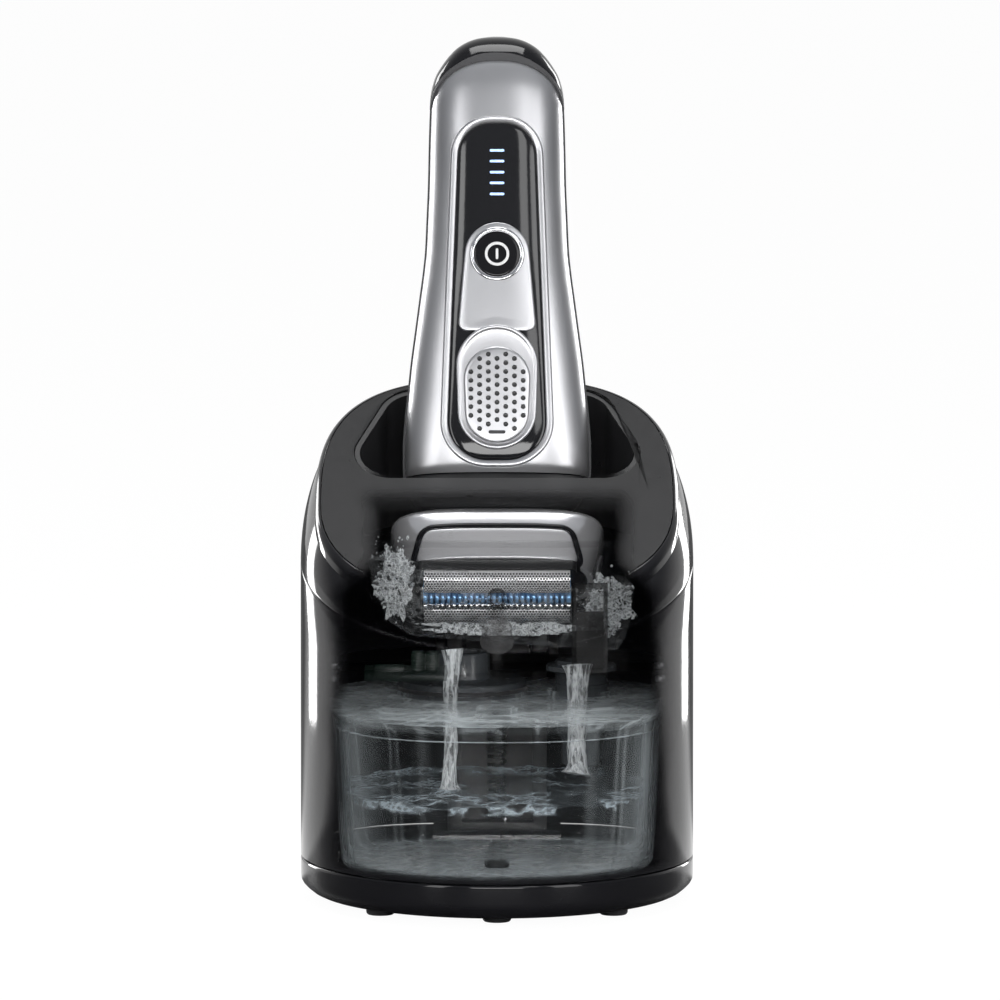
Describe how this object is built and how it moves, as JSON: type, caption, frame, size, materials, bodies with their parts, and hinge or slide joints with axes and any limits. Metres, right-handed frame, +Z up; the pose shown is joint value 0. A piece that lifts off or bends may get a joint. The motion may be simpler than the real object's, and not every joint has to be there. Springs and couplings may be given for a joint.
{
  "type": "shaver cleaning station",
  "caption": "Oval tabletop cleaning station with a slanted top, a fluid cartridge inside and an electric foil shaver docked head-down in its wash bowl.",
  "frame": {"origin": "middle of the whole object's footprint on the table", "axes": "+Z up, the display side faces -Y, +X to the object's left seen from behind, so to the right in the picture"},
  "size_m": [0.11, 0.1401, 0.2354],
  "materials": {
    "gloss_black": "high gloss",
    "matte_charcoal": "fine matte",
    "well_black": "satin moulded",
    "rubber_grey": "matte",
    "steel": "satin",
    "inlet_black": "satin",
    "clear_plastic": "clear moulded",
    "fluid": "clear liquid",
    "duct_grey": "satin moulded",
    "motor_case": "plated",
    "fan_black": "satin moulded",
    "board_green": "lacquered",
    "gold": "polished",
    "satin_silver": "satin",
    "grip_black": "soft touch",
    "chrome": "polished",
    "display_black": "high gloss",
    "light_blue": "lit",
    "cell_green": "sleeved",
    "foil_steel": "perforated",
    "trimmer_blue": "coated",
    "release_grey": "satin"
  },
  "bodies": {
    "base": {"base_plate": "gloss_black", "rubber_feet": "rubber_grey", "guide_column": "well_black", "column_screws": "steel", "power_inlet": "inlet_black", "cartridge_tub": "clear_plastic", "cartridge_lid": "clear_plastic", "cleaning_fluid": "fluid", "lift_spring": "steel"},
    "housing": {"lower_shell": "gloss_black", "collar_ring": "gloss_black", "bezel_ring": "gloss_black", "top_panel": "matte_charcoal", "dock_well": "well_black", "wash_bowl": "well_black", "chassis": "well_black", "chassis_screws": "steel", "drain_funnel": "duct_grey", "drain_seal": "rubber_grey", "overflow_pipe": "duct_grey", "pump_tube": "duct_grey", "pump_hose": "rubber_grey", "pump_motor": "motor_case", "fan_housing": "fan_black", "circuit_board": "board_green", "latch_pin": "steel"},
    "pump_rotor": {"pump_impeller": "steel"},
    "fan": {"fan_rotor": "fan_black"},
    "start_key": {"start_button": "matte_charcoal"},
    "lift_key": {"lift_button": "gloss_black"},
    "latch": {"latch_rocker": "well_black"},
    "pins": {"contact_pins": "gold"},
    "shaver": {"handle_front": "satin_silver", "handle_back": "grip_black", "handle_gasket": "rubber_grey", "end_cap": "gloss_black", "trim_frame": "chrome", "display_window": "display_black", "charge_lights": "light_blue", "button_plate": "chrome", "neck": "well_black", "shaver_motor": "motor_case", "battery": "cell_green", "shaver_board": "board_green", "charge_contacts": "gold", "swivel_pin": "steel"},
    "power_key": {"power_button": "chrome"},
    "lock": {"head_lock_slider": "satin_silver"},
    "long_hair_trimmer": {"hair_trimmer": "grip_black"},
    "head": {"head_frame": "chrome", "head_cover": "satin_silver", "head_band": "well_black", "foil_cassette": "well_black", "skin_guard": "grip_black"},
    "front_foil": {"foil_front": "foil_steel"},
    "rear_foil": {"foil_rear": "foil_steel"},
    "centre_trimmer": {"middle_trimmer": "trimmer_blue"},
    "cutter_set": {"cutters": "steel"},
    "release_left": {"release_button_left": "release_grey"},
    "release_right": {"release_button_right": "release_grey"}
  },
  "joints": [
    {"name": "housing_lift", "type": "slide", "parent": "base", "child": "housing", "axis": [0, 0, 1], "range_m": [0, 0.05], "deforming": ["lift_spring"]},
    {"name": "shaver_lift", "type": "slide", "parent": "housing", "child": "shaver", "axis": [0, 0.309, 0.9511], "range_m": [0, 0.09]},
    {"name": "start_press", "type": "slide", "parent": "housing", "child": "start_key", "axis": [0, 0.5678, -0.8231], "range_m": [0, 0.0008], "stiffness_N_per_m": 900},
    {"name": "lift_press", "type": "slide", "parent": "housing", "child": "lift_key", "axis": [0, -1, 0], "range_m": [0, 0.0012], "stiffness_N_per_m": 700},
    {"name": "latch_tip", "type": "hinge", "parent": "housing", "child": "latch", "pos_m": [0, 0.05507, 0.084], "axis": [1, 0, 0], "range_deg": [0, 10]},
    {"name": "pin_press", "type": "slide", "parent": "housing", "child": "pins", "axis": [0, 0.9511, -0.309], "range_m": [0, 0.001], "stiffness_N_per_m": 500},
    {"name": "pump_spin", "type": "hinge", "parent": "housing", "child": "pump_rotor", "pos_m": [0, -0.03703, 0.04], "axis": [0, 0, 1], "continuous": true},
    {"name": "fan_spin", "type": "hinge", "parent": "housing", "child": "fan", "pos_m": [0.027, -0.03603, 0.07], "axis": [0, 0, 1], "continuous": true},
    {"name": "power_press", "type": "slide", "parent": "shaver", "child": "power_key", "axis": [0, 0.9511, -0.309], "range_m": [0, 0.0007], "stiffness_N_per_m": 800},
    {"name": "lock_slide", "type": "slide", "parent": "shaver", "child": "lock", "axis": [0, 0.309, 0.9511], "range_m": [0, 0.0032]},
    {"name": "trimmer_slide", "type": "slide", "parent": "shaver", "child": "long_hair_trimmer", "axis": [0, -0.309, -0.9511], "range_m": [0, 0.008]},
    {"name": "head_swivel", "type": "hinge", "parent": "shaver", "child": "head", "pos_m": [0, 0.01897, 0.0975], "axis": [1, 0, 0], "range_deg": [0, 40]},
    {"name": "front_foil_float", "type": "slide", "parent": "head", "child": "front_foil", "axis": [0, 0.6428, 0.766], "range_m": [0, 0.0009], "stiffness_N_per_m": 600},
    {"name": "rear_foil_float", "type": "slide", "parent": "head", "child": "rear_foil", "axis": [0, 0.6428, 0.766], "range_m": [0, 0.0009], "stiffness_N_per_m": 600},
    {"name": "centre_trimmer_float", "type": "slide", "parent": "head", "child": "centre_trimmer", "axis": [0, 0.6428, 0.766], "range_m": [0, 0.0009], "stiffness_N_per_m": 600},
    {"name": "cutter_stroke", "type": "slide", "parent": "head", "child": "cutter_set", "axis": [1, 0, 0], "range_m": [-0.0008, 0.0008], "stiffness_N_per_m": 300},
    {"name": "release_left_press", "type": "slide", "parent": "head", "child": "release_left", "axis": [1, 0, 0], "range_m": [0, 0.001], "stiffness_N_per_m": 700},
    {"name": "release_right_press", "type": "slide", "parent": "head", "child": "release_right", "axis": [-1, 0, 0], "range_m": [0, 0.001], "stiffness_N_per_m": 700}
  ],
  "couplings": [
    {"joint": "latch_tip", "follows": "lift_press", "rad_per_m": 142.86}
  ]
}
